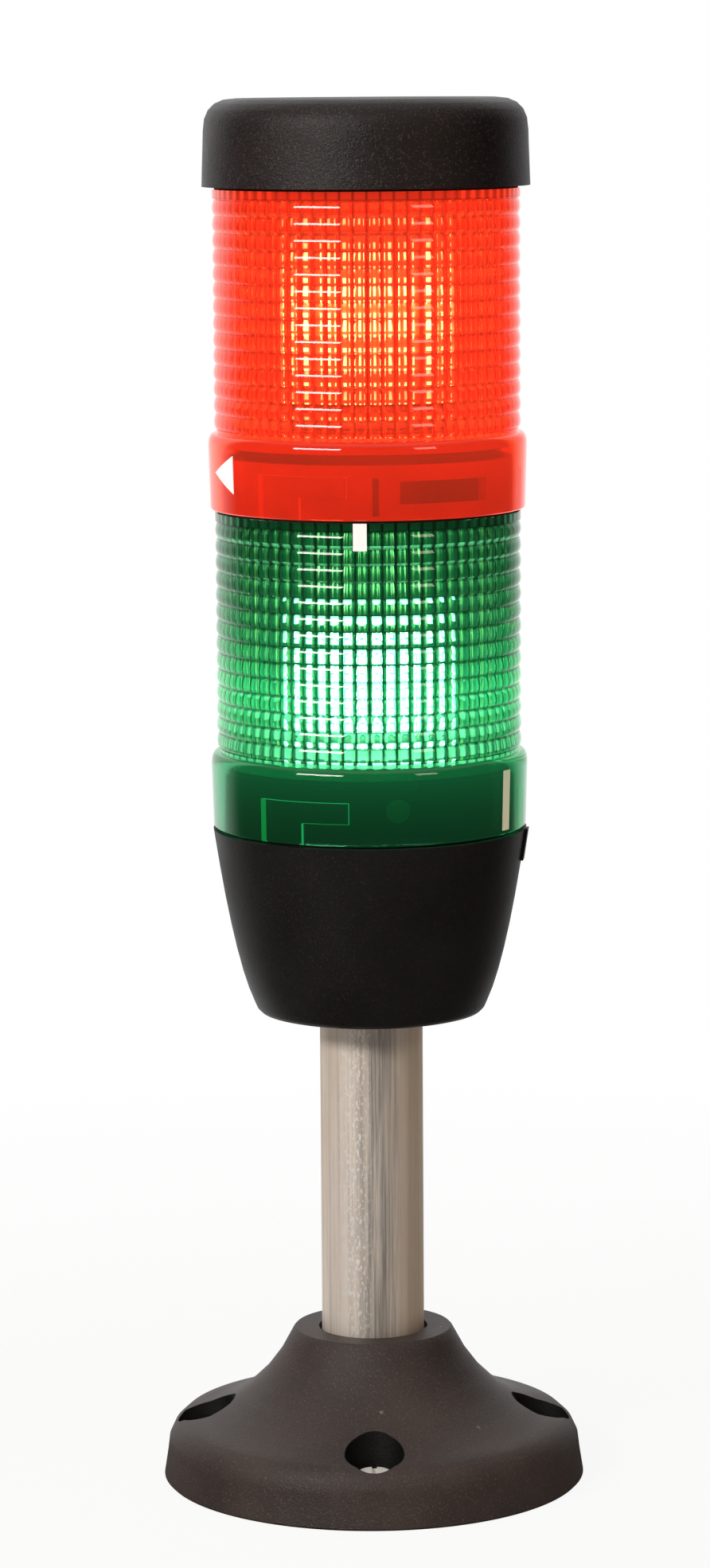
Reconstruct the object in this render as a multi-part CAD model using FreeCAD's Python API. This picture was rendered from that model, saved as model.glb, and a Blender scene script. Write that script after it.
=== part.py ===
import FreeCAD, Part
import math
import os
from FreeCAD import Vector

# A two-light signal tower for a machine: a moulded foot, an aluminium tube, a
# terminal bowl, a green and a red light module and a cap, each locked to the
# one below by a bayonet with three lugs.
# Millimetres, +Z up, origin at the centre of the foot's underside.  An azimuth
# is in degrees from the front (-Y), growing towards the right (+X).

# Tube
tube_d = 25.0
tube_wall = 1.5
tube_visible = 78.8

# Radial clearance of a piece that seats in another, and how far a cutter runs
# past the face that it opens
seat_play = 0.08
past = 1.0

# How far a turned chord may lie from the curve that it follows
chord_sag = 0.15

# Foot
foot_d = 103.0
foot_height = 37.0
foot_top_d = 38.0
foot_top_edge = 0.5
foot_rim_height = 6.3
foot_rim_draft = 0.9
foot_shoulder = 8.1
foot_shoulder_in = 3.8
foot_shoulder_turn = 5.8
foot_waist_out = 9.0
foot_waist_height = 18.1
foot_wall = 2.8
foot_rib = 2.0
foot_ribs = 8
foot_floor = 4.0
foot_boss_wall = 3.4
foot_edge = 0.6
foot_mouth_wide = 0.8
foot_mouth_deep = 1.4

# Fixing holes in the foot
fixing_circle_d = 82.0
fixing_count = 4
fixing_hole_d = 4.5
fixing_well_d = 14.2
fixing_seat = 7.4
fixing_boss_wall = 2.2

# Terminal bowl
bowl_height = 45.1
bowl_bottom_d = 56.6
bowl_rim_d = 75.6
bowl_corner = 2.6
bowl_corner_lean = 0.78
bowl_bulge_out = 4.8
bowl_bulge_up = 13.0
bowl_wall = 2.6
bowl_floor = 3.0
sleeve_wall = 3.6
sleeve_height = 24.0
bowl_stop = 2.0
index_tab_azimuth = 83.0
index_tab_width = 3.6
index_tab_height = 7.8
index_tab_proud = 0.7

# Bayonet, the same at each of the three joints
seam = 0.6
seal_thickness = 0.4
bayonet_bore_d = 69.8
bayonet_play = 0.3
ring_wall = 2.0
ring_height = 12.8
ring_headroom = 1.6
lug_count = 3
lug_azimuth = -17.0
lug_arc = 16.0
lug_depth = 1.6
lug_low = 5.5
lug_height = 4.4
lug_side_play = 1.0
twist = 18.0
plate_thickness = 2.0
plate_rebate = 0.6

# Light module
module_pitch = 76.6
collar_d = 76.2
collar_bottom_d = 75.4
collar_edge = 1.0
collar_height = 15.3
shoulder_height = 3.1
rib_crest_d = 73.3
rib_depth = 0.55
rib_count = 14
rib_crest = 1.9
rib_underside = 0.6
first_rib_gap = 0.75
top_band = 2.2
flute_count = 72
flute_depth = 0.7
lens_wall = 1.7
carrier_recess = 0.8
carrier_thickness = 2.4
carrier_play = 0.2
hub_wall = 3.0
hub_play = 0.3
hub_floor = 1.0
hub_low = 1.0

# Window and slot in the light module's own bayonet ring
window_from = 12.0
window_to = 50.5
window_low = 3.8
window_high = 9.1
slot_azimuth = 2.8
slot_arc = 2.6
slot_low = 1.1
slot_high = 9.9

# Lamp and its bayonet holder
holder_wall = 0.6
holder_play = 0.4
holder_height = 15.0
insulator_height = 4.0
contact_d = 2.4
contact_spacing = 7.0
contact_proud = 1.2
lamp_cap_d = 15.2
lamp_cap_height = 15.0
lamp_pin_d = 2.0
lamp_pin_proud = 0.1
lamp_pin_play = 0.2
lamp_pin_height = 3.4
lamp_pin_azimuths = (90.0, 270.0)
lamp_turn = 22.0
lamp_sides = 8
lamp_body_width = 22.0
green_lamp_height = 24.0
red_lamp_height = 46.0
led_width = 5.0
led_proud = 1.2
led_row_pitch = 7.4

# Contact strips that carry the wiring up the tower
strip_thickness = 0.8
strip_width = 3.2
strip_inset = 1.0
strip_foot = 5.6
strip_gap = 0.3
strip_slot_play = 0.3
terminal_offsets = (9.0, 15.0)

# Terminal block and its screws
block_length = 40.0
block_depth = 10.0
block_height = 8.0
block_centre_y = -18.0
terminal_screw_d = 4.0
terminal_screw_head = 2.2
terminal_well_d = 5.0
terminal_well_depth = 3.0
terminal_wire_d = 3.4
terminal_wire_height = 2.8
terminal_slot = 0.8
cable_hole_d = 14.0
cable_hole_y = 10.0

# Fasteners
plate_screw_circle_d = 54.0
plate_screw_azimuths = (0.0, 90.0, 270.0)
plate_screw_d = 3.0
plate_screw_head_d = 5.6
plate_screw_head = 2.0
plate_screw_length = 12.0
plate_boss_d = 8.0
lock_screw_d = 4.0
lock_screw_length = 5.0
lock_screw_azimuth = 180.0
screw_slot = 0.8
screw_slot_depth = 1.0

# Cap
cap_d = 78.1
cap_top_d = 77.2
cap_height = 20.7
cap_round = 7.6
cap_wall = 2.6

# Heights and radii that follow
tube_r = tube_d / 2
tube_inner_r = tube_r - tube_wall
bowl_low = foot_height + tube_visible
bowl_rim = bowl_low + bowl_height
first_joint = bowl_rim + seam
module_height = module_pitch - seam
cap_low = first_joint + 2 * module_pitch
bayonet_bore_r = bayonet_bore_d / 2
ring_r = bayonet_bore_r - bayonet_play
ring_inner_r = ring_r - ring_wall
rebate_r = ring_r + plate_rebate
lug_r = ring_r + lug_depth
groove_r = lug_r + bayonet_play
bore_height = ring_height + ring_headroom
crest_r = rib_crest_d / 2
valley_r = crest_r - rib_depth
flute_root_r = valley_r - lens_wall
flute_tip_r = flute_root_r - flute_depth
first_crest = collar_height + shoulder_height + first_rib_gap
rib_pitch = (module_height - top_band - first_crest) / rib_count
carrier_seat = bore_height + carrier_recess + carrier_thickness
holder_inner_r = lamp_cap_d / 2 + holder_play
holder_r = holder_inner_r + holder_wall
holder_seat = hub_low + hub_floor
lamp_seat = holder_seat + insulator_height + contact_proud
lamp_low = lamp_seat + lamp_cap_height
pin_height = lamp_seat + lamp_pin_height
contact_offsets = (-contact_spacing / 2, contact_spacing / 2)
strip_outer_r = ring_inner_r - strip_inset
strip_r = strip_outer_r - strip_thickness / 2
terminal_positions = [side * x for x in terminal_offsets for side in (-1, 1)]
strip_mid_r = strip_outer_r - strip_foot / 2
strip_azimuths = [180.0 - math.degrees(math.asin(x / strip_mid_r)) for x in terminal_positions]
lock_screw_z = bowl_low + sleeve_height / 2


def point(radius, height):
    return Vector(radius, 0, height)


def chords(start, control, end):
    """Points along a curve from start to end that bends towards its control point,
    close enough together that the chords stay within chord_sag of it."""
    bend = math.hypot(*(a - 2 * b + c for a, b, c in zip(start, control, end)))
    count = math.ceil(math.sqrt(bend / (4 * chord_sag)))
    points = []
    for number in range(1, count + 1):
        t = number / count
        points.append(tuple((1 - t) ** 2 * a + 2 * t * (1 - t) * b + t ** 2 * c
                            for a, b, c in zip(start, control, end)))
    return points


def lathe(start, *steps):
    """Turn a closed outline about Z.  A step is the end of a straight stretch, or
    a pair: the control point and the end of a curved one."""
    corners = [start]
    for step in steps:
        curved = isinstance(step[0], tuple)
        corners += chords(corners[-1], *step) if curved else [step]
    outline = Part.makePolygon([point(*corner) for corner in corners + [start]])
    return Part.Face(outline).revolve(Vector(0, 0, 0), Vector(0, 0, 1), 360)


def disc(radius, low, height, x=0.0, y=0.0):
    return Part.makeCylinder(radius, height, Vector(x, y, low))


def bore(radius, low, height, x=0.0, y=0.0):
    """A round cutter that runs past both ends of a height."""
    return disc(radius, low - past, height + 2 * past, x, y)


def ring(outer_r, inner_r, low, height):
    return disc(outer_r, low, height).cut(bore(inner_r, low, height))


def block(width, depth, height, x, y, low):
    """A box centred on x and y, standing on low."""
    return Part.makeBox(width, depth, height, Vector(x - width / 2, y - depth / 2, low))


def at_azimuth(shape, azimuth):
    """Carry a shape that was made at the front round to an azimuth."""
    turned = shape.copy()
    turned.rotate(Vector(0, 0, 0), Vector(0, 0, 1), azimuth)
    return turned


def spot(radius, azimuth):
    angle = math.radians(azimuth)
    return radius * math.sin(angle), -radius * math.cos(angle)


def sector(outer_r, inner_r, low, height, from_azimuth, to_azimuth):
    """Part of a ring between two azimuths."""
    arc = to_azimuth - from_azimuth
    wedge = Part.makeCylinder(outer_r, height, Vector(0, 0, low), Vector(0, 0, 1), arc)
    wedge = wedge.cut(bore(inner_r, low, height))
    return at_azimuth(wedge, from_azimuth - 90)


def radial_rod(radius, from_r, to_r, height, azimuth):
    """A round rod that points outwards at an azimuth."""
    rod = Part.makeCylinder(radius, to_r - from_r, Vector(0, -from_r, height), Vector(0, -1, 0))
    return at_azimuth(rod, azimuth)


def joined(shapes):
    return shapes[0].fuse(shapes[1:]).removeSplitter() if len(shapes) > 1 else shapes[0]


def raised(shape, height):
    moved = shape.copy()
    moved.translate(Vector(0, 0, height))
    return moved


def along(start, end, distance):
    """The point at a distance from start on the way to end."""
    share = distance / math.dist(start, end)
    return start[0] + (end[0] - start[0]) * share, start[1] + (end[1] - start[1]) * share


def offset_curve(start, control, end, distance):
    """The three poles of a curve set in from another by a distance at both ends."""
    def shifted(a, b):
        run, fall = b[0] - a[0], b[1] - a[1]
        length = math.hypot(run, fall)
        inward = (fall / length * distance, -run / length * distance)
        return (a[0] + inward[0], a[1] + inward[1]), (run / length, fall / length)

    first, first_way = shifted(start, control)
    last, last_way = shifted(control, end)
    cross = first_way[0] * last_way[1] - first_way[1] * last_way[0]
    gap = (last[0] - first[0], last[1] - first[1])
    reach = (gap[0] * last_way[1] - gap[1] * last_way[0]) / cross
    corner = (first[0] + reach * first_way[0], first[1] + reach * first_way[1])
    span = math.dist(control, end)
    far = (last[0] + last_way[0] * span, last[1] + last_way[1] * span)
    return first, corner, far


def screw(shank_d, head_d, head, length, x, y, seat):
    """A slotted screw, pointing down, with its head on the seat."""
    shape = disc(shank_d / 2, seat - length, length, x, y).fuse(disc(head_d / 2, seat, head, x, y))
    slot = block(head_d + past, screw_slot, screw_slot_depth, x, y, seat + head - screw_slot_depth)
    return shape.cut(slot).removeSplitter()


# Foot

def make_foot():
    base_r = foot_d / 2
    rim_r = base_r - foot_rim_draft
    top_r = foot_top_d / 2
    brow = (top_r + foot_top_edge, foot_height - foot_top_edge)
    waist = (top_r + foot_waist_out, foot_waist_height)
    shoulder = (rim_r - foot_shoulder_in, foot_rim_height + foot_shoulder)
    outside = lathe(
        (0, 0),
        (base_r - foot_edge, 0),
        (base_r, foot_edge),
        (rim_r, foot_rim_height),
        ((rim_r, foot_rim_height + foot_shoulder_turn), shoulder),
        (waist, brow),
        (top_r, foot_height),
        (0, foot_height),
    )
    boss_r = tube_r + foot_boss_wall
    upper, corner, outer = offset_curve(brow, waist, shoulder, foot_wall)
    upper = along(upper, corner, foot_wall)
    hollow = lathe(
        (boss_r, -past),
        (boss_r, upper[1]),
        upper,
        (corner, outer),
        (rim_r - foot_wall, foot_rim_height),
        (base_r - foot_wall, -past),
    )
    shell = outside.cut(hollow)
    ribs = []
    for number in range(foot_ribs):
        rib = Part.makeBox(foot_rib, base_r, foot_height, Vector(-foot_rib / 2, -base_r, 0))
        ribs.append(at_azimuth(rib, number * 360.0 / foot_ribs))
    bosses = []
    wells = []
    for number in range(fixing_count):
        x, y = spot(fixing_circle_d / 2, number * 360.0 / fixing_count)
        bosses.append(disc(fixing_well_d / 2 + fixing_boss_wall, 0, foot_height, x, y))
        wells.append(bore(fixing_hole_d / 2, 0, fixing_seat, x, y))
        wells.append(disc(fixing_well_d / 2, fixing_seat, foot_height, x, y))
    stiffeners = joined(ribs + bosses).common(outside)
    socket = [disc(tube_r + seat_play, foot_floor, foot_height),
              disc(tube_r + foot_mouth_wide, foot_height - foot_mouth_deep, foot_height),
              bore(tube_inner_r, 0, foot_floor)]
    return shell.fuse(stiffeners).removeSplitter().cut(wells + socket)


# Tube

def make_tube():
    top = bowl_low + sleeve_height - bowl_stop
    return ring(tube_r, tube_inner_r, foot_floor, top - foot_floor)


# Terminal bowl

def make_bowl():
    bottom_r = bowl_bottom_d / 2
    rim_r = bowl_rim_d / 2
    bulge = (bottom_r + bowl_bulge_out, bowl_low + bowl_bulge_up)
    foot_point = (bottom_r, bowl_low + bowl_corner)
    top = (rim_r, bowl_rim)
    outside = lathe(
        (0, bowl_low),
        (bottom_r - bowl_corner, bowl_low),
        ((bottom_r - bowl_corner_lean, bowl_low), foot_point),
        (bulge, top),
        (0, bowl_rim),
    )
    middle, lower = offset_curve(top, bulge, foot_point, bowl_wall)[1:]
    rebate_floor = bowl_rim - plate_thickness
    hollow = lathe(
        (0, bowl_low + bowl_floor),
        (lower[0], bowl_low + bowl_floor),
        (middle, (ring_inner_r, rebate_floor)),
        (ring_inner_r, bowl_rim + past),
        (0, bowl_rim + past),
    )
    rebate = disc(rebate_r, rebate_floor, plate_thickness + past)
    sleeve = disc(tube_r + sleeve_wall, bowl_low, sleeve_height)
    screw_spots = [spot(plate_screw_circle_d / 2, azimuth) for azimuth in plate_screw_azimuths]
    bosses = [disc(plate_boss_d / 2, bowl_low, rebate_floor - bowl_low, x, y) for x, y in screw_spots]
    inside = joined([sleeve] + bosses).common(outside)
    tab = Part.makeBox(index_tab_width, rim_r + index_tab_proud, index_tab_height,
                       Vector(-index_tab_width / 2, -rim_r - index_tab_proud, bowl_rim - index_tab_height))
    grown = lathe(
        (0, bowl_low),
        (bottom_r + index_tab_proud, foot_point[1]),
        ((bulge[0] + index_tab_proud, bulge[1]), (rim_r + index_tab_proud, bowl_rim)),
        (0, bowl_rim),
    )
    tab = at_azimuth(tab, index_tab_azimuth).common(grown)
    solid = outside.fuse(tab).cut([hollow, rebate]).fuse(inside).removeSplitter()
    stop = bowl_low + sleeve_height - bowl_stop
    socket = disc(tube_r + seat_play, bowl_low - past, stop - bowl_low + past)
    holes = [socket, bore(tube_inner_r, stop, bowl_stop)]
    for x, y in screw_spots:
        screw_low = rebate_floor - plate_screw_length
        holes.append(disc(plate_screw_d / 2, screw_low, plate_screw_length + past, x, y))
    lock_end = tube_r + sleeve_wall + past
    holes.append(radial_rod(lock_screw_d / 2, tube_r, lock_end, lock_screw_z, lock_screw_azimuth))
    return solid.cut(holes)


def make_lock_screw():
    end = tube_r + lock_screw_length
    rod = radial_rod(lock_screw_d / 2, tube_r, end, lock_screw_z, lock_screw_azimuth)
    slot = block(lock_screw_d + past, screw_slot_depth, screw_slot, 0, screw_slot_depth / 2 - end,
                 lock_screw_z - screw_slot / 2)
    return rod.cut(at_azimuth(slot, lock_screw_azimuth))


# Bayonet plate: the disc, ring wall and lugs on top of the bowl and of each module

def strip_slots(low, height):
    """Cutters for the slots that the contact strips pass through."""
    width = strip_width + 2 * strip_slot_play
    depth = strip_thickness + 2 * strip_slot_play
    slot = block(width, depth, height + 2 * past, 0, -strip_r, low - past)
    return [at_azimuth(slot, azimuth) for azimuth in strip_azimuths]


def make_plate(seat, windows):
    """A bayonet plate whose disc lies in the rebate of what carries it.  The joint
    plane is one seam above the seat."""
    joint = seat + seam
    underside = seat - plate_thickness
    parts = [disc(rebate_r - seat_play, underside, plate_thickness),
             ring(ring_r, ring_inner_r, seat, seam + ring_height)]
    for number in range(lug_count):
        centre = lug_azimuth + number * 360.0 / lug_count
        parts.append(sector(lug_r, ring_inner_r, joint + lug_low, lug_height,
                            centre - lug_arc / 2, centre + lug_arc / 2))
    plate = joined(parts)
    holes = strip_slots(underside, plate_thickness)
    if windows:
        holes.append(ring_opening(joint + window_low, joint + window_high, window_from, window_to))
        holes.append(ring_opening(joint + slot_low, joint + slot_high, slot_azimuth - slot_arc / 2,
                                  slot_azimuth + slot_arc / 2))
    else:
        holes.append(bore(cable_hole_d / 2, underside, plate_thickness, 0, cable_hole_y))
        for azimuth in plate_screw_azimuths:
            x, y = spot(plate_screw_circle_d / 2, azimuth)
            holes.append(bore(plate_screw_d / 2, underside, plate_thickness, x, y))
    return plate.cut(holes)


def ring_opening(low, high, from_azimuth, to_azimuth):
    """A cutter for an opening in a plate's ring wall."""
    return sector(ring_r + past, ring_inner_r - past, low, high - low, from_azimuth, to_azimuth)


def bayonet_grooves(joint):
    """The L-shaped grooves that the lugs below run in, cut from a collar's bore."""
    grooves = []
    for number in range(lug_count):
        centre = lug_azimuth + number * 360.0 / lug_count
        half = lug_arc / 2 + lug_side_play
        last = centre + half
        first = centre - half - twist
        low = joint + lug_low - bayonet_play
        top = joint + lug_low + lug_height + bayonet_play
        inner_r = bayonet_bore_r - past
        grooves.append(sector(groove_r, inner_r, low, top - low, first, last))
        grooves.append(sector(groove_r, inner_r, joint - past, top - joint + past, first, first + 2 * half))
    return grooves


def make_seal(seat):
    return ring(valley_r, rebate_r + bayonet_play, seat, seal_thickness)


# Light module

def lens_outline():
    """The outside of a lens from its lower edge to its top, in its own heights."""
    collar_r = collar_d / 2
    foot_r = collar_bottom_d / 2
    steps = [(foot_r - collar_edge, 0), ((foot_r, 0), (foot_r, collar_edge)), (collar_r, collar_height),
             ((collar_r, collar_height + shoulder_height), (valley_r, collar_height + shoulder_height))]
    for number in range(rib_count):
        low = first_crest + number * rib_pitch
        steps.append((crest_r, low))
        steps.append((crest_r, low + rib_crest))
        steps.append((valley_r, low + rib_pitch - rib_underside))
    steps.append((crest_r, module_height - top_band))
    steps.append((crest_r, module_height))
    return steps


def make_lens(joint):
    """The flutes are V cuts that run straight down the wall from the top plate to
    the carrier's seat."""
    inside = [
        (rebate_r, module_height),
        (rebate_r, module_height - plate_thickness),
        (flute_tip_r, module_height - plate_thickness),
        (flute_tip_r, carrier_seat),
        (flute_root_r, carrier_seat),
        (flute_root_r, bore_height),
        (bayonet_bore_r, bore_height),
        (bayonet_bore_r, 0),
    ]
    steps = lens_outline() + inside
    body = raised(lathe(steps[0], *steps[1:]), joint)
    rim = []
    for number in range(2 * flute_count):
        radius = flute_root_r if number % 2 == 0 else flute_tip_r
        x, y = spot(radius, number * 180.0 / flute_count)
        rim.append(Vector(x, y, joint + carrier_seat))
    star = Part.Face(Part.makePolygon(rim + [rim[0]]))
    flutes = star.extrude(Vector(0, 0, module_height - carrier_seat + past))
    return body.cut([flutes] + bayonet_grooves(joint))


def make_carrier(joint):
    """A disc under the lens's ledge, with a cup below it for the lamp holder."""
    low = joint + carrier_seat - carrier_thickness
    plate = disc(flute_root_r - carrier_play, low, carrier_thickness)
    cup_r = holder_r + hub_play
    cup = disc(cup_r + hub_wall, joint + hub_low, carrier_seat - hub_low)
    pocket = disc(cup_r, joint + holder_seat, carrier_seat - holder_seat + past)
    return plate.fuse(cup).removeSplitter().cut([pocket] + strip_slots(low, carrier_thickness))


# Lamp and its holder

def make_holder(joint):
    """A shell with a J-shaped slot for each of the lamp's two pins."""
    base = joint + holder_seat
    shell = ring(holder_r, holder_inner_r, base, holder_height)
    half = lamp_pin_d / 2 + lamp_pin_play
    half_arc = math.degrees(half / holder_r)
    low = joint + pin_height - half
    outer_r, inner_r = holder_r + past, holder_inner_r - past
    cuts = []
    for azimuth in lamp_pin_azimuths:
        way_in = azimuth + lamp_turn
        rise = base + holder_height - low + past
        cuts.append(sector(outer_r, inner_r, low, rise, way_in - half_arc, way_in + half_arc))
        cuts.append(sector(outer_r, inner_r, low, 2 * half, azimuth - half_arc, way_in))
    return shell.cut(cuts)


def make_insulator(joint):
    base = joint + holder_seat
    body = disc(holder_inner_r - seat_play, base, insulator_height)
    return body.cut([bore(contact_d / 2 + seat_play, base, insulator_height, x, 0) for x in contact_offsets])


def make_contacts(joint):
    base = joint + holder_seat
    height = insulator_height + contact_proud
    return Part.makeCompound([disc(contact_d / 2, base, height, x, 0) for x in contact_offsets])


def make_lamp_cap(joint):
    cap = disc(lamp_cap_d / 2, joint + lamp_seat, lamp_cap_height)
    pins = [radial_rod(lamp_pin_d / 2, 0, holder_r + lamp_pin_proud, joint + pin_height, azimuth)
            for azimuth in lamp_pin_azimuths]
    return joined([cap] + pins)


def make_lamp_body(joint, height):
    """An eight-sided column that stands on the lamp's cap, one flat to the front."""
    corner_r = lamp_body_width / 2 / math.cos(math.pi / lamp_sides)
    corners = [spot(corner_r, (number + 0.5) * 360.0 / lamp_sides) for number in range(lamp_sides + 1)]
    base = Part.Face(Part.makePolygon([Vector(x, y, joint + lamp_low) for x, y in corners]))
    return base.extrude(Vector(0, 0, height))


def make_leds(joint, height):
    """Rows of square lights on the column's sides, centred on its height."""
    rows = int(height / led_row_pitch)
    first = joint + lamp_low + height / 2 - (rows - 1) * led_row_pitch / 2
    leds = []
    for row in range(rows):
        low = first + row * led_row_pitch - led_width / 2
        light = block(led_width, led_proud, led_width, 0, -(lamp_body_width + led_proud) / 2, low)
        leds += [at_azimuth(light, number * 360.0 / lamp_sides) for number in range(lamp_sides)]
    return Part.makeCompound(leds)


# Contact strips

def strip(low, high):
    """A strip with a foot at the bottom and a pad at the top, both turned inwards."""
    run = block(strip_width, strip_thickness, high - low, 0, -strip_r, low)
    foot_y = -strip_outer_r + strip_foot / 2
    foot = block(strip_width, strip_foot, strip_thickness, 0, foot_y, low)
    pad = block(strip_width, strip_foot, strip_thickness, 0, foot_y, high - strip_thickness)
    return joined([run, foot, pad])


def make_strips(joint):
    low = joint - seam + strip_thickness + strip_gap
    high = joint + module_height + strip_thickness
    shape = strip(low, high)
    return Part.makeCompound([at_azimuth(shape, azimuth) for azimuth in strip_azimuths])


def make_base_strips():
    """The lowest pads, each run on along the plate to its terminal."""
    shapes = []
    for x, azimuth in zip(terminal_positions, strip_azimuths):
        pad = at_azimuth(block(strip_width, strip_foot, strip_thickness, 0, -strip_mid_r, bowl_rim), azimuth)
        back = block_centre_y + block_depth / 2
        reach = spot(strip_mid_r, azimuth)[1] - back
        run = block(strip_width, reach, strip_thickness, x, back + reach / 2, bowl_rim)
        shapes.append(joined([pad, run]))
    return Part.makeCompound(shapes)


# Terminals

def make_terminal_block():
    body = block(block_length, block_depth, block_height, 0, block_centre_y, bowl_rim)
    well_floor = bowl_rim + block_height - terminal_well_depth
    mouth_y = block_centre_y - block_depth / 2 - past
    cuts = []
    for x in terminal_positions:
        cuts.append(disc(terminal_well_d / 2, well_floor, terminal_well_depth + past, x, block_centre_y))
        mouth = Vector(x, mouth_y, bowl_rim + terminal_wire_height)
        cuts.append(Part.makeCylinder(terminal_wire_d / 2, block_depth / 2 + past, mouth, Vector(0, 1, 0)))
    return body.cut(cuts)


def make_terminal_screws():
    screws = []
    low = bowl_rim + block_height - terminal_well_depth
    for x in terminal_positions:
        head = disc(terminal_screw_d / 2, low, terminal_screw_head, x, block_centre_y)
        slot_low = low + terminal_screw_head - terminal_slot
        slot = block(terminal_screw_d + past, terminal_slot, terminal_slot, x, block_centre_y, slot_low)
        screws.append(head.cut(slot))
    return Part.makeCompound(screws)


def make_plate_screws():
    shapes = []
    for azimuth in plate_screw_azimuths:
        x, y = spot(plate_screw_circle_d / 2, azimuth)
        shank_d = plate_screw_d - 2 * seat_play
        shapes.append(screw(shank_d, plate_screw_head_d, plate_screw_head, plate_screw_length,
                            x, y, bowl_rim))
    return Part.makeCompound(shapes)


# Cap

def make_cap():
    low_r = cap_d / 2
    top_r = cap_top_d / 2
    top = cap_low + cap_height
    bore_top = cap_low + bore_height
    outside = lathe(
        (bayonet_bore_r, cap_low),
        (low_r, cap_low),
        (top_r, top - cap_round),
        ((top_r, top), (top_r - cap_round, top)),
        (0, top),
        (0, top - cap_wall),
        (top_r - cap_round, top - cap_wall),
        ((bayonet_bore_r, top - cap_wall), (bayonet_bore_r, bore_top)),
    )
    return outside.cut(bayonet_grooves(cap_low))


def save(name, shape):
    shape.exportStep(f"parts/{name}.step")


def main():
    os.makedirs("parts", exist_ok=True)
    save("foot", make_foot())
    save("tube", make_tube())
    save("terminal_bowl", make_bowl())
    save("tube_lock_screw", make_lock_screw())
    save("base_plate", make_plate(bowl_rim, windows=False))
    save("base_plate_screws", make_plate_screws())
    save("base_seal", make_seal(bowl_rim))
    save("terminal_block", make_terminal_block())
    save("terminal_screws", make_terminal_screws())
    save("base_contact_strips", make_base_strips())
    modules = (("green", green_lamp_height), ("red", red_lamp_height))
    for number, (colour, lamp_height) in enumerate(modules):
        joint = first_joint + number * module_pitch
        save(f"{colour}_lens", make_lens(joint))
        save(f"{colour}_carrier", make_carrier(joint))
        save(f"{colour}_lamp_holder", make_holder(joint))
        save(f"{colour}_holder_insulator", make_insulator(joint))
        save(f"{colour}_holder_contacts", make_contacts(joint))
        save(f"{colour}_lamp_cap", make_lamp_cap(joint))
        save(f"{colour}_lamp_body", make_lamp_body(joint, lamp_height))
        save(f"{colour}_leds", make_leds(joint, lamp_height))
        save(f"{colour}_contact_strips", make_strips(joint))
        save(f"{colour}_top_plate", make_plate(joint + module_height, windows=True))
        save(f"{colour}_seal", make_seal(joint + module_height))
    save("cap", make_cap())


main()
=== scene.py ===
import bpy
import math
import numpy as np
from bpy.props import FloatProperty, FloatVectorProperty, IntProperty, PointerProperty
from mathutils import Matrix, Vector


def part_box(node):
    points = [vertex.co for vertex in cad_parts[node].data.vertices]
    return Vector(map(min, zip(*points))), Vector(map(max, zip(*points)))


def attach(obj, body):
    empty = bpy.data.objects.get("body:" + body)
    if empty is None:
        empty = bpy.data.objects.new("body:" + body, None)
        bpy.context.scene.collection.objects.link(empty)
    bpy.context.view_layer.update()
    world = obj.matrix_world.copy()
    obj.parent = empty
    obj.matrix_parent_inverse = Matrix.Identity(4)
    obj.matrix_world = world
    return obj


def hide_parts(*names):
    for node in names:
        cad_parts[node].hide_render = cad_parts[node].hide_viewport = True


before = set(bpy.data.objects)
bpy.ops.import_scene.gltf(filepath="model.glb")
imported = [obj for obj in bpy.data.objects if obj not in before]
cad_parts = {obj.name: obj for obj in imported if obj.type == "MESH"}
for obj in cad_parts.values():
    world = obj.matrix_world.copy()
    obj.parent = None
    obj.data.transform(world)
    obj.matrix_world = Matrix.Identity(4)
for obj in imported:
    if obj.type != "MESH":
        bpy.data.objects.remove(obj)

bl_info = {
    "name": "Stack light dressing",
    "version": (1, 0, 0),
    "blender": (4, 5, 0),
    "location": "View3D > Sidebar > Stack light",
    "description": "Lenses, finishes, marks and stage for a two-light signal tower",
    "category": "Object",
}

MM = 0.001
COLOURS = ("green", "red")
BLACK = (0.0, 0.0, 0.0)

# The lenses' plastic: how far from a lamp it scatters light, its least share of that, how
# much painted shade lines at its ribs and flutes darken it, and how much brighter groove edges shine
SCATTER_REACH = {"green": 9.5 * MM, "red": 50.0 * MM}
SCATTER_FLOOR = {"green": 0.02, "red": 0.5}
SHADE_LINE_DEPTH = {"green": 0.85, "red": 0.45}
EDGE_LIGHT = 2.5

# The lamps: the light of columns and light points, how far from the middle the points
# stay bright, and how many times as far the columns do
BODY_LIGHT = {"green": (1.0, 0.9, 0.95), "red": (1.0, 0.55, 0.2)}
POINT_LIGHT = (1.0, 0.95, 0.85)
POINT_REACH = {"green": 16.0 * MM, "red": 4.6 * MM}
BODY_REACH = 1.6
LED_WIDTH = 5.0 * MM
LED_PITCH = 7.4 * MM
LED_DIE = 3.0 * MM
LAMP_SIDES = 8

# Black plastic's specks painted as glints in its grain, its scuffs, its chips and the painted shade in its
# wells, and the tube's tint for stains and for painted shade at its right, its worn band and its scratches
# painted as glints
GLINT_SPECK = (0.17, 0.13, 0.12)
SCUFF = (0.3, 0.28, 0.26)
CHIP = (0.26, 0.24, 0.22)
WELL_SHADE = (0.0015, 0.0015, 0.0018)
STAIN_AND_SHADE = (0.74, 0.64, 0.52)
WORN = (0.2, 0.19, 0.185)
SCRATCH_GLINT = (1.0, 0.99, 0.97)

# A printed mark's gap over the plastic, and its thickness
PRINT_GAP = 0.01 * MM
PRINT_THICKNESS = 0.12 * MM


# Properties

def length(name, description, millimetres):
    """A size with its unit, given in millimetres."""
    return FloatProperty(name=name, description=description, default=millimetres * MM, min=0.0,
                         precision=5, unit="LENGTH")


def plain_number(name, description, value, low=0.0, high=1000.0):
    """A plain number between two limits."""
    return FloatProperty(name=name, description=description, default=value, min=low, max=high)


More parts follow.
